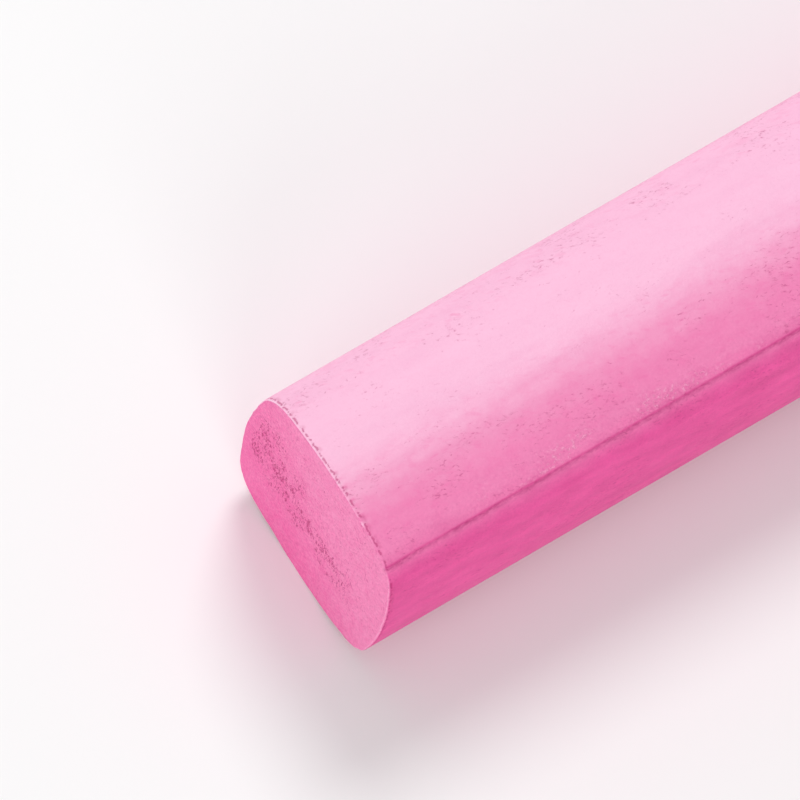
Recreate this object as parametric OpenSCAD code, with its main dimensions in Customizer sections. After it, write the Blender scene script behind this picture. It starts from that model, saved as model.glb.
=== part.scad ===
// Stick of blackboard chalk, cast in one piece. It is a square bar with gently
// bulging sides, rounded long corners and flat ends. It lies on one of its four
// sides along X, with the origin under its middle.

/* [Stick] */
// Length from one end face to the other
stick_l = 90; // [40:1:150]
// Width across two opposite sides, where they bulge most
stick_w = 12; // [9:0.5:16]

/* [Section] */
// Radius of the bulge across each of the four sides
crown_r = 17.3; // [14:0.1:40]
// Radius of each of the four long corners
corner_r = 2.3; // [0.8:0.1:3]

/* [Ends] */
// Rounding of the edge around each end face
end_edge_r = 0.15; // [0.05:0.05:0.6]

/* [Mould line] */
// Width of the line that the mould leaves along one corner
mould_line_w = 0.24; // [0.1:0.02:0.6]
// Depth of that line below the corner's surface
mould_line_d = 0.1; // [0.04:0.02:0.3]
// How far round its corner the line lies, counted from the upper side
mould_line_deg = 40; // [20:1:70]

/* [Hidden] */
$fn = 96;

half_w = stick_w / 2;
// The centre of each bulge lies this far beyond the stick's axis
crown_offset = crown_r - half_w;
// Each corner touches both of its bulges from inside, which places its centre:
// pow(corner_c + crown_offset, 2) + pow(corner_c, 2) = pow(crown_r - corner_r, 2)
corner_c = (sqrt(2 * pow(crown_r - corner_r, 2) - pow(crown_offset, 2)) - crown_offset) / 2;
// The corners stand this little proud, so that they cross the bulges in clean lines
corner_lap = 0.001;
// Slope of the seam plane through a bulge's centre and a corner's centre, where the two meet
seam_slope = corner_c / (corner_c + crown_offset);
// A point on that plane, outside the stick
seam_x = stick_w;
seam_y = (seam_x + crown_offset) * seam_slope;

// Half of a lengthwise cut through a round bar with rounded end edges
module bar_profile(r) {
    translate([0, end_edge_r])
        square([r, stick_l - 2 * end_edge_r]);
    square([r - end_edge_r, stick_l]);
    for (y = [end_edge_r, stick_l - end_edge_r])
        translate([r - end_edge_r, y])
            circle(end_edge_r);
}

// One bulging side, from past the stick's axis outwards, between its two seam planes
module crowned_side() {
    intersection() {
        translate([-crown_offset, 0, 0])
            rotate_extrude()
                bar_profile(crown_r);
        linear_extrude(stick_l)
            polygon([
                [-corner_c, 0],
                [corner_c, -corner_c],
                [seam_x, -seam_y],
                [seam_x, seam_y],
                [corner_c, corner_c]
            ]);
    }
}

// One long corner, a whole round bar whose inner part is buried in the sides
module long_corner() {
    translate([corner_c, corner_c, 0])
        rotate_extrude()
            bar_profile(corner_r + corner_lap);
}

// V-shaped line along the corner between the upper side and the front side
module mould_line() {
    translate([-corner_c, -corner_c, 0])
        rotate([0, 0, 180 + mould_line_deg])
            translate([corner_r, 0, -stick_l / 2])
                linear_extrude(2 * stick_l)
                    polygon([
                        [-mould_line_d, 0],
                        [mould_line_d, -mould_line_w],
                        [mould_line_d, mould_line_w]
                    ]);
}

// The stick standing on one end
module standing_stick() {
    difference() {
        union() {
            for (turn = [0:90:270])
                rotate([0, 0, turn])
                    crowned_side();
            for (turn = [0:90:270])
                rotate([0, 0, turn])
                    long_corner();
        }
        mould_line();
    }
}

module chalk_stick() {
    color([0.93, 0.47, 0.70])
        translate([-stick_l / 2, 0, half_w])
            rotate([0, 90, 0])
                standing_stick();
}

chalk_stick();
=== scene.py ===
"""A stick of pink blackboard chalk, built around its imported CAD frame."""
import math

import bpy
import numpy as np
from mathutils import Matrix, Vector, noise


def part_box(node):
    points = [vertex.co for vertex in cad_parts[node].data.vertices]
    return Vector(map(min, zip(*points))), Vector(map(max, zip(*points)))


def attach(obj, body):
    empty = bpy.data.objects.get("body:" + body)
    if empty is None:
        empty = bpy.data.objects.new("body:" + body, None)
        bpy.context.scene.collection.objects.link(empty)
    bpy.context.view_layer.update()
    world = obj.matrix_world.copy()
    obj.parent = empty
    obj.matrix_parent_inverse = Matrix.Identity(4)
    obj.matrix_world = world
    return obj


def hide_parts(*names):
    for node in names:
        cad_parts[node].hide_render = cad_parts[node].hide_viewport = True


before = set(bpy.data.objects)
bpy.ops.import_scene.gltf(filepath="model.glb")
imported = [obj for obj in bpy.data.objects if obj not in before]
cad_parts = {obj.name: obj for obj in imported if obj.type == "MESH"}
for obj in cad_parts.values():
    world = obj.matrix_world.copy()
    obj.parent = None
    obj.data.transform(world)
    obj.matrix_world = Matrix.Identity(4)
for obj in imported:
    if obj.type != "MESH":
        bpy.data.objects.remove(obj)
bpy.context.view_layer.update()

NODE = "chalk_stick"
MM = 0.001  # metres in a millimetre

# The stick, in millimetres, with x from its writing end and y, z about its axis
LOW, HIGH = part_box(NODE)
LENGTH = (HIGH.x - LOW.x) / MM
HALF_W = (HIGH.z - LOW.z) / MM / 2
AXIS_Y = (LOW.y + HIGH.y) / 2
AXIS_Z = (LOW.z + HIGH.z) / 2
CROWN_R = 17.3  # radius of each bulging side
CORNER_R = 2.3  # radius of each long corner
CROWN_OFFSET = CROWN_R - HALF_W  # from the axis to the centre of a side's bulge
CORNER_C = (math.sqrt(2 * (CROWN_R - CORNER_R) ** 2 - CROWN_OFFSET ** 2) - CROWN_OFFSET) / 2
CROWN_HALF = math.degrees(math.atan2(CORNER_C, CORNER_C + CROWN_OFFSET))

# The mould line, along the corner between the top and the front
MOULD_LINE_DEG = 40  # where it lies, turned from the top to the front
MOULD_LINE_W = 0.30
MOULD_LINE_D = 0.035
STEEP_SHARE = 0.3  # of its width, towards the top
GENTLE_SHARE = 0.65  # of its width, towards the front
LINE_WANDER = 0.03  # how far it strays to each side
LINE_UNEVEN = 0.35  # share by which its depth varies

# The edge around each end
END_EDGE_R = 0.075  # its usual rounding
EDGE_UNEVEN = 0.35  # share by which the rounding varies
EDGE_CRUMBLE = 0.05  # extra rounding where the writing end's edge has crumbled
FAR_EDGE_SHARE = 1.2  # the far end's rounding as a share of the usual one

# The worn writing end. It lies back by a plane in y and z that is bowed across y.
END_SET_BACK = 0.2  # at its middle
END_LEAN = 0.022  # more for each millimetre to the back, so the front side sticks out furthest
END_BOW = 0.0018  # less for each square millimetre to the front or the back
END_TILT = 0.006  # more for each millimetre up
END_WEAR_REACH = 8  # how far along the stick this wear fades out
END_DENTS = ((163, 0.5, 0.02), (187, 0.7, 0.02), (262, 0.9, 0.02))  # degrees, width and depth
DENT_REACH = 0.4  # how far along the stick a dent goes
RIM_REACH = 0.35  # how far from the end's rim it is ragged and pushed in
RAGGED_D = 0.03  # how deep the rim is ragged
CHIP_D = 0.012  # depth of the small chips behind the rim
CHIP_PLACE = 0.27  # how far they lie behind it
CHIP_REACH = 0.09  # how far they spread along the stick
WAVE_D = 0.012  # depth of the mould's faint waves
FACE_BUMP = 0.02  # height of the unevenness of an end face
FACE_SUNK = 0.008  # how far the face lies in besides

# The mesh: columns run round the stick and rows along it
CROWN_COLUMNS = {0: 108, 90: 60, 180: 28, 270: 48}  # top, front, underside and back
CORNER_COLUMNS = 26
MOULD_CORNER_COLUMNS = 66
MOULD_PULL = 0.62  # how strongly the columns are drawn to the mould line
MOULD_PULL_WIDTH = 0.22  # share of the corner over which they are
FINEST_ROW = 0.055  # spacing at the writing end
ROW_GROWTH = 0.045  # how much the spacing grows for each millimetre of distance
FAR_COARSER = 3  # times coarser at the far end
COARSEST_ROW = 1.1
EDGE_ROWS = 6
WRITING_RINGS = 34
FAR_RINGS = 12


def direction(degrees):
    """Outward direction in (y, z), turned from straight up towards the front (-Y)."""
    a = math.radians(degrees)
    return np.array([-math.sin(a), math.cos(a)])


def outline_point(degrees):
    """Where the section's outline has its outward normal in this direction."""
    side = round(degrees / 90) * 90
    n = direction(degrees)
    if abs(degrees - side) <= CROWN_HALF:
        return -CROWN_OFFSET * direction(side) + CROWN_R * n
    before = math.floor(degrees / 90) * 90
    return CORNER_C * (direction(before) + direction(before + 90)) + CORNER_R * n


def column_angles():
    """Normal directions of the columns, closest together at the mould line."""
    angles = []
    for side in range(0, 360, 90):
        count = CROWN_COLUMNS[side]
        angles += list(np.linspace(side - CROWN_HALF, side + CROWN_HALF, count, endpoint=False))
        start, end = side + CROWN_HALF, side + 90 - CROWN_HALF
        if start < MOULD_LINE_DEG < end:
            t = np.linspace(0, 1, MOULD_CORNER_COLUMNS, endpoint=False)
            off = t - (MOULD_LINE_DEG - start) / (end - start)
            pull = MOULD_PULL * off * np.exp(-(off / MOULD_PULL_WIDTH) ** 2)
            angles += list(start + (end - start) * (t - pull))
        else:
            angles += list(np.linspace(start, end, CORNER_COLUMNS, endpoint=False))
    return np.array(angles)


def row_places():
    """Distances from the writing end, from 0 to 1, finer near both ends."""
    x, places = 0.0, [0.0]
    while x < LENGTH:
        near_end = FINEST_ROW + ROW_GROWTH * x
        far_end = FAR_COARSER * FINEST_ROW + FAR_COARSER * ROW_GROWTH * (LENGTH - x)
        x += min(near_end, far_end, COARSEST_ROW)
        places.append(x)
    return np.array(places) / places[-1]


def fractal(points, scale, octaves=3):
    """Smooth noise at each point, roughly from -1 to 1."""
    return np.array([
        noise.fractal(Vector(p) / scale, 1.0, 2.0, octaves) for p in points.reshape(-1, 3)
    ]).reshape(points.shape[:-1])


def smooth(low, high, value):
    """0 below low, 1 above high and a soft step between."""
    t = np.clip((value - low) / (high - low), 0, 1)
    return t * t * (3 - 2 * t)


def bell(value, width):
    """1 where value is 0, falling softly to nothing beyond width."""
    return np.exp(-(value / width) ** 2)


ANGLES = column_angles()
COLUMNS = len(ANGLES)
OUTLINE = np.array([outline_point(a) for a in ANGLES])
NORMALS = np.array([direction(a) for a in ANGLES])
RIM = np.concatenate([np.zeros((1, COLUMNS, 1)), OUTLINE[None]], axis=-1)


def dent_depths():
    """How deep the writing end's outline is dented at each column."""
    total = np.zeros(COLUMNS)
    for degrees, width, depth in END_DENTS:
        away = np.linalg.norm(OUTLINE - outline_point(degrees), axis=1)
        total += depth * bell(away, width)
    return total


def edge_roundings():
    """The rounding of the writing end's edge and of the far end's edge at each column."""
    crumbled = smooth(0.35, 0.8, fractal(RIM + 7, 0.7, 2)[0])
    near = END_EDGE_R * (1 + EDGE_UNEVEN * fractal(RIM, 0.9, 3)[0]) + EDGE_CRUMBLE * crumbled
    far_rim = RIM + [[[LENGTH, 0, 0]]]
    far = END_EDGE_R * (FAR_EDGE_SHARE + EDGE_UNEVEN * fractal(far_rim, 0.9, 3)[0])
    return near, far


def side_grid():
    """Points of the sides and the end edges, one row after another along the stick."""
    near, far = edge_roundings()
    turn = np.linspace(0, math.pi / 2, EDGE_ROWS + 1)[:, None]
    near_x = near[None] * (1 - np.sin(turn))[::-1]
    near_inset = near[None] * (1 - np.cos(turn))[::-1]
    far_x = LENGTH - far[None] * (1 - np.sin(turn))
    far_inset = far[None] * (1 - np.cos(turn))
    places = row_places()[1:-1, None]
    side_x = near[None] + (LENGTH - near - far)[None] * places
    x = np.concatenate([near_x, side_x, far_x])
    inset = np.concatenate([near_inset, np.zeros_like(side_x), far_inset])
    yz = OUTLINE[None] - inset[..., None] * NORMALS[None]
    return np.concatenate([x[..., None], yz], axis=-1)


def mould_groove(x):
    """Depth of the mould line, which strays and varies along the stick."""
    across = np.radians(ANGLES - MOULD_LINE_DEG) * CORNER_R
    wander = LINE_WANDER * fractal(np.stack([x, x * 0, x * 0], -1)[:, :1], 1.6, 3)
    uneven = 1 + LINE_UNEVEN * fractal(np.stack([x, x * 0 + 5, x * 0], -1)[:, :1], 1.1, 3)
    off_line = across[None] - wander
    reach = np.where(off_line < 0, STEEP_SHARE, GENTLE_SHARE) * MOULD_LINE_W
    return MOULD_LINE_D * uneven * bell(off_line, reach)


def sides():
    """The sides' points, sunk by waves, mould line, chips and ragged rim, and their three masks."""
    grid = side_grid()
    x = grid[..., 0].copy()
    waves = WAVE_D * (fractal(grid / [3.0, 1, 1], 2.4, 3) + 0.4)
    groove = mould_groove(x)
    chip_noise = fractal(grid * [1.0, 2.2, 2.2], 0.8, 2)
    behind = bell(x - CHIP_PLACE, CHIP_REACH)
    ragged = np.clip(fractal(RIM * 1.6 + 3, 1.0, 3), 0, 1)
    sunk = np.clip(waves, 0, 1) + groove
    sunk = sunk + CHIP_D * smooth(0.0, 0.35, chip_noise) * behind + dent_depths()[None] * bell(x, DENT_REACH)
    sunk = sunk + RAGGED_D * ragged * bell(x, RIM_REACH)
    grid[..., 1:] -= sunk[..., None] * NORMALS[None]
    rim = np.zeros_like(x)
    rim[1:EDGE_ROWS] = 1
    rim[-EDGE_ROWS:-1] = 1
    return grid, np.stack([smooth(0.0, 0.3, chip_noise) * behind, groove / MOULD_LINE_D, rim], -1)


def end_rings(edge, count, sign):
    """Rings from an end's edge towards the centre of its face, which is slightly uneven."""
    rings = []
    for k in range(1, count):
        ring = edge.copy()
        ring[:, 1:] *= 1 - k / count
        bump = FACE_BUMP * fractal(ring[None], 1.3, 3)[0] * min(1, 3 * k / count)
        ring[:, 0] += sign * np.clip(bump + FACE_SUNK, 0, 1)
        rings.append(ring)
    return rings


def all_rows():
    """Every point, with the two centres last, the masks of each and the number of rows."""
    grid, masks = sides()
    near = end_rings(grid[0], WRITING_RINGS, 1)[::-1]
    far = end_rings(grid[-1], FAR_RINGS, -1)
    rows = near + list(grid) + far
    blank = np.zeros((COLUMNS, 3))
    row_masks = [blank] * len(near) + list(masks) + [blank] * len(far)
    centres = [[rows[0][:, 0].mean(), 0, 0], [rows[-1][:, 0].mean(), 0, 0]]
    points = np.concatenate(rows + [centres])
    return points, np.concatenate(row_masks + [np.zeros((2, 3))]), len(rows)


def worn(points, row_count):
    """The points with the writing end pushed in at its dents and lying back as it is worn."""
    x, y, z = points.T
    radius = np.linalg.norm(points[:, 1:], axis=1)
    rim_radius = np.tile(np.linalg.norm(OUTLINE, axis=1), row_count)
    from_rim = np.concatenate([rim_radius, [HALF_W, HALF_W]]) - radius
    pushed = np.concatenate([np.tile(dent_depths(), row_count), [0, 0]])
    pushed *= bell(from_rim, RIM_REACH) * bell(x, RIM_REACH)
    back = np.maximum(END_SET_BACK + END_LEAN * y - END_BOW * y ** 2 + END_TILT * z, 0)
    result = points.copy()
    result[:, 0] += pushed
    result[:, 0] += back * (1 - smooth(0, END_WEAR_REACH, x))
    return result


def faces_of(row_count):
    """The faces between the rows and around both centres, and the column of each of their corners."""
    faces, face_columns = [], []
    for r in range(row_count - 1):
        row, following = r * COLUMNS, (r + 1) * COLUMNS
        for c in range(COLUMNS):
            d = (c + 1) % COLUMNS
            faces.append((row + c, row + d, following + d, following + c))
            face_columns.append((c, c + 1, c + 1, c))
    last = (row_count - 1) * COLUMNS
    near_centre = row_count * COLUMNS
    far_centre = near_centre + 1
    for c in range(COLUMNS):
        d = (c + 1) % COLUMNS
        faces.append((near_centre, d, c))
        faces.append((far_centre, last + c, last + d))
        face_columns += [(c, c + 1, c), (c, c, c + 1)]
    return faces, face_columns


def skin_places(faces, face_columns, x):
    """Where each corner of a face lies on the skin: along the stick, and round it from the mould line."""
    steps = np.linalg.norm(np.roll(OUTLINE, -1, axis=0) - OUTLINE, axis=1)
    around = np.concatenate([[0], np.cumsum(steps)])
    around -= np.interp(MOULD_LINE_DEG, ANGLES, around[:-1])
    half_way = (around[-1] - around[0]) / 2
    corner_around = around[np.array([c for columns in face_columns for c in columns])]
    corner_around = np.where(corner_around > half_way, corner_around - 2 * half_way, corner_around)
    corner_points = np.array([p for face in faces for p in face])
    return np.stack([x[corner_points], corner_around, np.zeros(len(corner_points))], -1)


def stick_mesh():
    """The stick's surface, with masks on its points and skin places on its faces' corners."""
    points, masks, row_count = all_rows()
    faces, face_columns = faces_of(row_count)
    places = worn(points, row_count) * MM + np.array([LOW.x, AXIS_Y, AXIS_Z])
    mesh = bpy.data.meshes.new("chalk_surface")
    mesh.from_pydata(places.tolist(), [], faces)
    mesh.polygons.foreach_set("use_smooth", [True] * len(mesh.polygons))
    for k, name in enumerate(("chip", "groove", "rim")):
        layer = mesh.attributes.new(name, "FLOAT", "POINT")
        layer.data.foreach_set("value", masks[:, k].astype(np.float32))
    skin = skin_places(faces, face_columns, points[:, 0])
    layer = mesh.attributes.new("skin", "FLOAT_VECTOR", "CORNER")
    layer.data.foreach_set("vector", skin.astype(np.float32).ravel())
    mesh.update()
    return mesh


class Graph:
    """Short calls that build a material's nodes and join them up."""

    def __init__(self, name):
        self.material = bpy.data.materials.new(name)
        self.material.use_nodes = True
        self.tree = self.material.node_tree
        self.shader = self.tree.nodes["Principled BSDF"]

    def put(self, socket, value):
        """Link a socket to value, or set it where value is a constant."""
        if isinstance(value, bpy.types.NodeSocket):
            self.tree.links.new(value, socket)
        elif isinstance(value, tuple) and len(value) == 3 and socket.type == "RGBA":
            socket.default_value = (*value, 1)
        else:
            socket.default_value = value

    def node(self, kind, inputs=(), **settings):
        made = self.tree.nodes.new("ShaderNode" + kind)
        for key, value in settings.items():
            setattr(made, key, value)
        for key, value in dict(inputs).items():
            self.put(made.inputs[key], value)
        return made

    def math(self, operation, *values, clamp=False):
        made = self.node("Math", operation=operation, use_clamp=clamp)
        for k, value in enumerate(values):
            self.put(made.inputs[k], value)
        return made.outputs[0]

    def plus(self, a, b):
        return self.math("ADD", a, b)

    def minus(self, a, b):
        return self.math("SUBTRACT", a, b)

    def times(self, a, b):
        return self.math("MULTIPLY", a, b)

    def times_plus(self, a, b, c, clamp=False):
        return self.math("MULTIPLY_ADD", a, b, c, clamp=clamp)

    def larger(self, a, b):
        return self.math("MAXIMUM", a, b)

    def absolute(self, a):
        return self.math("ABSOLUTE", a)

    def vector(self, operation, a, b):
        made = self.node("VectorMath", operation=operation)
        self.put(made.inputs[0], a)
        self.put(made.inputs["Scale" if operation == "SCALE" else 1], b)
        return made.outputs[0]

    def step(self, value, low, high, to_low=0.0, to_high=1.0):
        """A soft step from to_low to to_high as value goes from low to high."""
        inputs = {"Value": value, "From Min": low, "From Max": high, "To Min": to_low, "To Max": to_high}
        return self.node("MapRange", inputs, interpolation_type="SMOOTHSTEP").outputs[0]

    def noise(self, where, scale, detail=2.0, rough=0.5, flat=False, color=False):
        inputs = {"Vector": where, "Scale": scale, "Detail": detail, "Roughness": rough}
        made = self.node("TexNoise", inputs, noise_dimensions="2D" if flat else "3D")
        return made.outputs["Color" if color else "Fac"]

    def placed(self, where, scale, turn=0.0, move=(0.0, 0.0, 0.0)):
        """where turned by degrees about Z, then scaled along each axis and moved."""
        rotation = (0.0, 0.0, math.radians(turn))
        turned = self.node("Mapping", {"Vector": where, "Rotation": rotation}).outputs[0]
        return self.node("Mapping", {"Vector": turned, "Scale": scale, "Location": move}).outputs[0]

    def pattern(self, where, stretch, detail, rough=0.5, scale=1.0, turn=0.0, move=(0.0, 0.0)):
        """Flat noise on where, which is turned by degrees, stretched along each axis and moved."""
        spread = self.placed(where, (*stretch, 1.0), turn, (*move, 0.0))
        return self.noise(spread, scale, detail, rough, flat=True)

    def warped(self, where, scale, amount):
        """where pushed about by smooth noise."""
        push = self.vector("SUBTRACT", self.noise(where, scale, 2.0, color=True), (0.5, 0.5, 0.5))
        return self.vector("ADD", where, self.vector("SCALE", push, amount))

    def mix(self, factor, a, b, blend="MIX"):
        made = self.node("Mix", data_type="RGBA", blend_type=blend)
        self.put(made.inputs[0], factor)
        self.put(made.inputs[6], a)
        self.put(made.inputs[7], b)
        return made.outputs[2]


# Colours of the chalk, its painted highlight and its painted shade, as linear red, green and blue
DEEP_PINK = (0.81, 0.074, 0.325)
HIGHLIGHT_AND_DUST_PINK = (1.0, 0.80, 0.95)
GROOVE_AND_GAP_SHADE_PINK = (0.45, 0.02, 0.16)
FLECK_SHADE_PINK = (0.44, 0.035, 0.16)
TEAR_SHADE_PINK = (0.42, 0.015, 0.13)
CHIP_SHADE_PINK = (0.48, 0.025, 0.15)

TOP_HIGHLIGHT = 0.362  # painted highlight on the top
BROW_HIGHLIGHT = 0.205  # painted highlight added there and on the slope from the front
SMEAR_THINS = 0.24  # how much of the painted highlight and dust a smear takes away
CRUMB_HIGHLIGHT = 0.10  # painted highlight that a crumb adds
RIM_HIGHLIGHT = 0.16  # painted highlight that the rounded edges of the ends add at most
GREEN_POWER = 1.8
BLUE_POWER = 1.2
PIT_ROUGHNESS = 0.25  # how much rougher pits and tears are


class Chalk(Graph):
    """The chalk's surface: patterns in millimetres, by place and by how far along and round the skin."""

    def __init__(self):
        super().__init__("chalk_pink")
        coordinates = self.node("TexCoord")
        place = self.vector("SCALE", coordinates.outputs["Object"], 1 / MM)
        self.place = self.vector("SUBTRACT", place, (0.0, AXIS_Y / MM, AXIS_Z / MM))
        _, self.y, self.z = self.node("SeparateXYZ", {"Vector": self.place}).outputs
        self.skin = self.attribute("skin", "Vector")
        self.along, self.around, _ = self.node("SeparateXYZ", {"Vector": self.skin}).outputs
        normal = self.node("SeparateXYZ", {"Vector": coordinates.outputs["Normal"]}).outputs
        self.end = self.step(self.absolute(normal[0]), 0.75, 0.95)
        self.side = self.minus(1.0, self.end)
        # Degrees from straight up, below 0 towards the front
        self.facing = self.times(self.math("ARCTAN2", normal[1], normal[2]), 180 / math.pi)
        self.mottle = self.noise(self.place, 1.6, 4.0, 0.6)
        self.grain = self.noise(self.place, 8.0, 2.0)
        self.streaks = self.pattern(self.skin, (0.10, 1.1), 4.0, 0.55)

    def attribute(self, name, output="Fac"):
        return self.node("Attribute", attribute_name=name).outputs[output]

    def side_highlight(self):
        """Painted highlight on the sides: strongest on top, weaker all round from there."""
        uneven = self.times_plus(self.streaks, 2.6, -1.3)
        uneven = self.times_plus(self.mottle, 3.0, self.plus(uneven, -1.5))
        facing = self.plus(self.facing, uneven)
        top = self.step(facing, -11.0, 4.7, 0.0, TOP_HIGHLIGHT)
        brow = self.step(facing, -72.0, -14.0, 0.0, BROW_HIGHLIGHT)
        back = self.step(self.facing, 45.0, 120.0, 1.0, 0.35)
        below = self.step(self.facing, 120.0, 170.0, 1.0, 0.2)
        return self.times(self.plus(top, brow), self.times(back, below))

    def end_highlight(self):
        """Painted highlight on the end faces: strongest at their top and front, uneven in lumps."""
        slope = self.times_plus(self.y, -0.7, self.times(self.z, 0.6))
        ends = self.step(slope, -4.5, 3.0, 0.085, 0.195)
        ends = self.times_plus(self.noise(self.place, 2.0, 4.0, 0.65), 0.20, self.plus(ends, -0.10))
        return self.times_plus(self.noise(self.place, 5.5, 3.0, 0.65), 0.16, self.plus(ends, -0.08))

    def highlight_and_dust(self):
        """The pale pink's amount: painted highlight on sides and ends plus a little random paleness, before
        smears, rims and crumbs change it.
        """
        faces = self.plus(self.times(self.side_highlight(), self.side), self.times(self.end_highlight(), self.end))
        return self.times_plus(self.minus(self.mottle, 0.5), 0.07, faces, clamp=True)

    def flecks(self):
        """Small ragged pits on the sides, some in rows along the stick and some in slanting flocks."""
        wavy = self.warped(self.skin, 2.5, 0.25)
        rows = self.pattern(self.skin, (0.16, 2.6), 2.0)
        flocks = self.pattern(self.skin, (0.5, 1.0), 2.0, scale=0.55, move=(7.0, 3.0))
        in_rows = self.pattern(wavy, (2.6, 6.6), 4.0, 0.7)
        slanted = self.pattern(wavy, (2.4, 6.8), 4.0, 0.7, turn=-27)
        row_floor = self.step(self.plus(rows, flocks), 0.91, 1.23, 0.74, 0.595)
        slant_floor = self.step(flocks, 0.41, 0.61, 0.74, 0.605)
        # A strip along the top has fewer pits, and the skin on both sides of it has more
        calm = self.times(self.step(self.around, -8.4, -7.2), self.step(self.around, -4.2, -5.4))
        busy = self.plus(self.step(self.around, -8.6, -9.6), self.step(self.around, -4.6, -3.0))
        row_floor = self.times_plus(busy, -0.025, self.times_plus(calm, 0.05, row_floor))
        slant_floor = self.times_plus(busy, -0.02, self.times_plus(calm, 0.05, slant_floor))
        by_row = self.step(self.minus(in_rows, row_floor), -0.02, 0.17)
        by_slant = self.step(self.minus(slanted, slant_floor), -0.02, 0.17)
        return self.times(self.larger(by_row, by_slant), self.side)

    def smears(self):
        """Soft slanting smears that thin the pale pink, which is mostly painted highlight, fewest along the
        middle of the top.
        """
        wavy = self.warped(self.skin, 1.5, 0.3)
        soft = self.pattern(wavy, (0.9, 2.6), 3.0, 0.6, scale=1.3, turn=-22)
        smudges = self.pattern(wavy, (0.7, 1.7), 3.0, 0.6, turn=-8, move=(2.0, 9.0))
        spots = self.pattern(wavy, (0.8, 2.2), 2.0, turn=-10)
        soft = self.times(self.step(soft, 0.54, 0.74), 0.6)
        soft = self.larger(soft, self.times(self.step(smudges, 0.52, 0.74), 0.4))
        rubbed = self.larger(soft, self.step(spots, 0.74, 0.83))
        off_middle = self.larger(self.step(self.around, -8.2, -9.2), self.step(self.around, -6.0, -4.0))
        share = self.step(off_middle, 0.0, 1.0, 0.25, 1.0)
        return self.times(self.times(rubbed, share), self.side)

    def crumbs(self):
        """Crumbs clinging to the top just above the mould line, and the hollows between them, which get
        painted shade.
        """
        band = self.times(self.step(self.around, -1.7, -0.5), self.step(self.around, -0.05, -0.25))
        band = self.times(band, self.step(self.along, 3.5, 7.0))
        clumps = self.pattern(self.skin, (0.6, 1.0), 3.0, scale=0.6)
        clumps = self.step(clumps, 0.40, 0.62, 0.15)
        rough = self.pattern(self.warped(self.skin, 4.0, 0.1), (4.4, 5.6), 3.0, 0.65)
        here = self.times(self.times(band, clumps), self.side)
        high = self.times(self.step(rough, 0.53, 0.66), here)
        gap_shade = self.times(self.step(rough, 0.44, 0.34), here)
        return high, gap_shade

    def torn_band(self):
        """Where the writing end is torn: a band across it, a patch to the back and a little elsewhere."""
        sway = self.times_plus(self.noise(self.place, 0.6, 3.0), 3.0, -1.5)
        off_core = self.absolute(self.plus(self.plus(self.z, 1.35), sway))
        core = self.times(self.step(off_core, 2.0, 0.3), self.step(self.y, -6.0, 1.5, 0.45, 1.0))
        z = self.plus(self.z, sway)
        patch = self.times(self.step(self.y, -0.8, 2.6), self.step(z, -2.6, -1.6, 0.0, 0.95))
        patch = self.times(patch, self.step(z, 4.6, 1.0))
        base = self.step(z, -2.6, -1.2, 0.08, 0.42)
        band = self.larger(self.larger(core, patch), base)
        patchy = self.step(self.noise(self.place, 0.9, 3.0, 0.6), 0.36, 0.60, 0.5, 1.0)
        return self.times(band, self.times(patchy, self.step(self.y, 5.7, 4.9, 0.4, 1.0)))

    def tears(self):
        """Torn grain on the writing end: fine pits and curls darkened as painted shade, with a faint
        darkening over the whole band.
        """
        band = self.torn_band()
        floor = self.step(band, 0.0, 1.0, 0.70, 0.485)
        fine = self.warped(self.placed(self.place, (1.0, 1.0, 0.45)), 6.0, 0.10)
        dots = self.step(self.minus(self.noise(fine, 8.5, 4.0, 0.75), floor), 0.0, 0.08)
        off_curl = self.absolute(self.minus(self.noise(fine, 3.2, 2.0), 0.5))
        broken = self.step(self.noise(self.place, 5.0, 2.0), 0.45, 0.56)
        curls = self.times(self.step(off_curl, 0.034, 0.012), self.times(broken, band))
        haze = self.times(band, 0.10)
        writing_end = self.times(self.end, self.math("LESS_THAN", self.along, LENGTH / 2))
        return self.times(self.larger(self.larger(dots, curls), haze), writing_end)

    def edge_chips(self):
        """A chain of little chips just behind the writing end's edge."""
        sway = self.pattern(self.skin, (0.0, 1.0), 3.0, scale=1.3)
        jitter = self.pattern(self.skin, (0.0, 6.0), 1.0, move=(3.0, 0.0))
        middle = self.times_plus(jitter, 0.10, self.times_plus(sway, 0.12, 0.03))
        off = self.absolute(self.minus(self.along, middle))
        reach = self.step(self.pattern(self.skin, (3.0, 6.4), 1.0), 0.36, 0.62, 0.0, 0.08)
        return self.times(self.step(self.minus(reach, off), -0.02, 0.06), self.side)

    def tones(self, crumbs):
        """What the colour is multiplied by, for red, green and blue."""
        # Grain shows least on the top and back, more on the front and most on the ends
        coarse = self.step(self.facing, -5.0, -16.0, 0.05, 0.20)
        coarse = self.times_plus(self.end, 0.34, coarse)
        tone = self.times_plus(self.minus(self.grain, 0.5), coarse, 1.0)
        streaky = self.times(self.minus(self.streaks, 0.5), self.side)
        streak_depth = self.step(self.facing, -6.0, -25.0, 0.06, 0.15)
        tone = self.times(tone, self.times_plus(streaky, streak_depth, 1.0))
        clouds = self.pattern(self.skin, (0.45, 1.0), 4.0, 0.6, turn=-12)
        cloud_depth = self.step(self.facing, -8.0, -40.0, 0.03, 0.30)
        tone = self.times_plus(self.times(self.minus(clouds, 0.5), cloud_depth), self.side, tone)
        # Crumbs are lightened further as painted highlight
        tone = self.times_plus(crumbs, 0.09, tone)
        # Green is the pink's weakest channel and blue the next, so they are changed by a larger share
        green = self.math("POWER", tone, GREEN_POWER)
        blue = self.math("POWER", tone, BLUE_POWER)
        return self.node("CombineColor", {0: tone, 1: green, 2: blue}).outputs[0]

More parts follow.
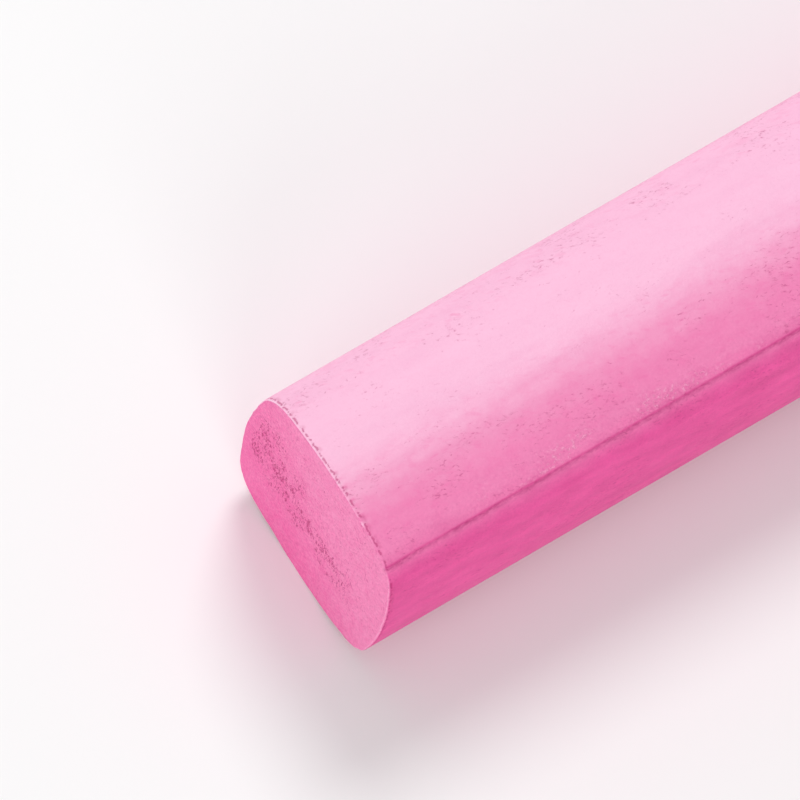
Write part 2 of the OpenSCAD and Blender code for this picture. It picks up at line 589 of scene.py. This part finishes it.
    def base_color(self, flecks, tears, edge_chips, crumbs, gap_shade):
        """Pink under its painted highlight, with darker marks on top: painted shade in pits, torn grain,
        chips, the mould line and between crumbs.
        """
        highlight_and_dust = self.times(self.highlight_and_dust(), self.times_plus(self.smears(), -SMEAR_THINS, 1.0))
        # Painted highlight along the ends' rounded edges, away from the top
        rim_highlight = self.step(self.absolute(self.facing), 20.0, 60.0, 0.0, RIM_HIGHLIGHT)
        highlight_and_dust = self.times_plus(self.attribute("rim"), rim_highlight, highlight_and_dust)
        # Painted highlight on the crumbs
        highlight_and_dust = self.times_plus(crumbs, CRUMB_HIGHLIGHT, highlight_and_dust, clamp=True)
        # Mixed towards pale pink by the painted highlight, with a little random paleness
        color = self.mix(highlight_and_dust, DEEP_PINK, HIGHLIGHT_AND_DUST_PINK)
        color = self.mix(1.0, color, self.tones(crumbs), "MULTIPLY")
        crumbly = self.pattern(self.skin, (3.0, 9.0), 3.0, 0.6)
        # The mould line is darkened as painted shade, unevenly along it
        groove = self.times(self.attribute("groove"), self.step(crumbly, 0.34, 0.62, 0.55, 1.15))
        for mask, share, mark_color in (
            # painted shade in the pits
            (flecks, 0.50, FLECK_SHADE_PINK),
            # painted shade in the torn grain
            (tears, 0.76, TEAR_SHADE_PINK),
            # painted shade in the chips along the edge
            (edge_chips, 0.58, CHIP_SHADE_PINK),
            # painted shade in the mesh's small chips behind the rim
            (self.attribute("chip"), 0.25, CHIP_SHADE_PINK),
            (groove, 0.55, GROOVE_AND_GAP_SHADE_PINK),
            # painted shade between the crumbs
            (gap_shade, 0.22, GROOVE_AND_GAP_SHADE_PINK),
        ):
            color = self.mix(self.times(mask, share), color, mark_color)
        return color

    def relief(self, flecks, tears, edge_chips, crumbs):
        """The surface's normal, from a height in millimetres."""
        height = self.times(self.mottle, 0.03)
        for value, share in (
            (self.grain, 0.012),
            (self.times(self.streaks, self.side), 0.012),
            (flecks, -0.006),
            (tears, -0.006),
            (edge_chips, -0.02),
            (crumbs, 0.02),
        ):
            height = self.times_plus(value, share, height)
        return self.node("Bump", {"Height": height, "Distance": MM, "Strength": 1.0}).outputs[0]

    def build(self):
        """Set the shader's inputs and return the finished material."""
        flecks, tears, edge_chips = self.flecks(), self.tears(), self.edge_chips()
        crumbs, gap_shade = self.crumbs()
        pitted = self.larger(self.larger(flecks, tears), edge_chips)
        rough = self.step(self.mottle, 0.3, 0.7, 0.48, 0.56)
        inputs = self.shader.inputs
        self.put(inputs["Base Color"], self.base_color(flecks, tears, edge_chips, crumbs, gap_shade))
        self.put(inputs["Normal"], self.relief(flecks, tears, edge_chips, crumbs))
        self.put(inputs["Roughness"], self.times_plus(pitted, PIT_ROUGHNESS, rough))
        self.put(inputs["Specular IOR Level"], 0.3)
        return self.material


def plain_material(name, color, roughness):
    material = bpy.data.materials.new(name)
    material.use_nodes = True
    shader = material.node_tree.nodes["Principled BSDF"]
    shader.inputs["Base Color"].default_value = (*color, 1)
    shader.inputs["Roughness"].default_value = roughness
    return material


# ---------------------------------------------------------------- camera and studio
SECTION_TURN = math.radians(13.6)  # the view direction's tilt round the stick's axis
FORESHORTENING = 0.317  # of lengths across the stick that point along its axis in view
STICK_SLOPE = math.radians(30)  # of the stick in the view
FIELD_WIDTH = 37.8  # millimetres across the view, at the writing end
AIM_ALONG = 6.62  # from the writing end's centre to the middle of the view, along the stick
AIM_ACROSS = 3.11  # and across it
LENS = 1200.0  # focal length, in millimetres
SENSOR = 36.0  # width, in millimetres

WORLD_STRENGTH = 0.525
FLOOR_HALF = 3.0  # metres
LIT_ALONG = 0.02  # metres from the writing end to where the lights point
# Name, place from there in metres, diameter in metres and power in watts
LIGHTS = (
    ("key", (0.1585, 0.248, 0.404), 0.2, 1.085),
    ("back", (0.0, 0.45, 0.12), 0.3, 0.22),
    ("front", (-0.2, -0.4, 0.2), 0.3, 0.58),
    ("left", (-0.45, -0.1, 0.15), 0.3, 0.66),
)


def make_camera():
    across = Vector((0, math.cos(SECTION_TURN), math.sin(SECTION_TURN)))
    up_side = Vector((0, -math.sin(SECTION_TURN), math.cos(SECTION_TURN)))
    flat = math.sqrt(1 - FORESHORTENING ** 2)
    along = flat * Vector((1, 0, 0)) + FORESHORTENING * up_side
    towards = -FORESHORTENING * Vector((1, 0, 0)) + flat * up_side
    right = math.cos(STICK_SLOPE) * along - math.sin(STICK_SLOPE) * across
    up = math.sin(STICK_SLOPE) * along + math.cos(STICK_SLOPE) * across
    end_centre = Vector((LOW.x, AXIS_Y, AXIS_Z))
    aim = end_centre + (AIM_ALONG * along + AIM_ACROSS * across) * MM
    distance = FIELD_WIDTH * MM * LENS / SENSOR
    data = bpy.data.cameras.new("camera")
    data.lens = LENS
    data.sensor_width = SENSOR
    data.clip_start = 0.01
    data.clip_end = 10
    camera = bpy.data.objects.new("camera", data)
    bpy.context.scene.collection.objects.link(camera)
    turn = Matrix((right, up, towards)).transposed().to_4x4()
    camera.matrix_world = Matrix.Translation(aim + towards * distance) @ turn
    bpy.context.scene.camera = camera


def make_light(name, at, size, power):
    data = bpy.data.lights.new(name, "AREA")
    data.shape = "DISK"
    data.size = size
    data.energy = power
    light = bpy.data.objects.new(name, data)
    light.location = Vector((LOW.x + LIT_ALONG, AXIS_Y, AXIS_Z)) + Vector(at)
    light.rotation_euler = (-Vector(at)).to_track_quat("-Z", "Y").to_euler()
    light.visible_camera = False
    bpy.context.scene.collection.objects.link(light)


def make_floor():
    size = FLOOR_HALF
    mesh = bpy.data.meshes.new("floor")
    corners = [(-size, -size, 0), (size, -size, 0), (size, size, 0), (-size, size, 0)]
    mesh.from_pydata(corners, [], [(0, 1, 2, 3)])
    floor = bpy.data.objects.new("floor", mesh)
    floor.location.z = LOW.z
    bpy.context.scene.collection.objects.link(floor)
    mesh.materials.append(plain_material("pale_floor", (0.9, 0.9, 0.9), 0.8))


def make_world():
    world = bpy.data.worlds.new("studio")
    world.use_nodes = True
    background = world.node_tree.nodes["Background"]
    background.inputs["Color"].default_value = (1, 1, 1, 1)
    background.inputs["Strength"].default_value = WORLD_STRENGTH
    bpy.context.scene.world = world


make_camera()
make_world()
for light in LIGHTS:
    make_light(*light)
make_floor()
bpy.context.scene.view_settings.view_transform = "Standard"

stick = bpy.data.objects.new("chalk_body", stick_mesh())
bpy.context.scene.collection.objects.link(stick)
stick.data.materials.append(Chalk().build())
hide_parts(NODE)
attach(stick, "root")
print("triangles", 2 * len(stick.data.polygons))
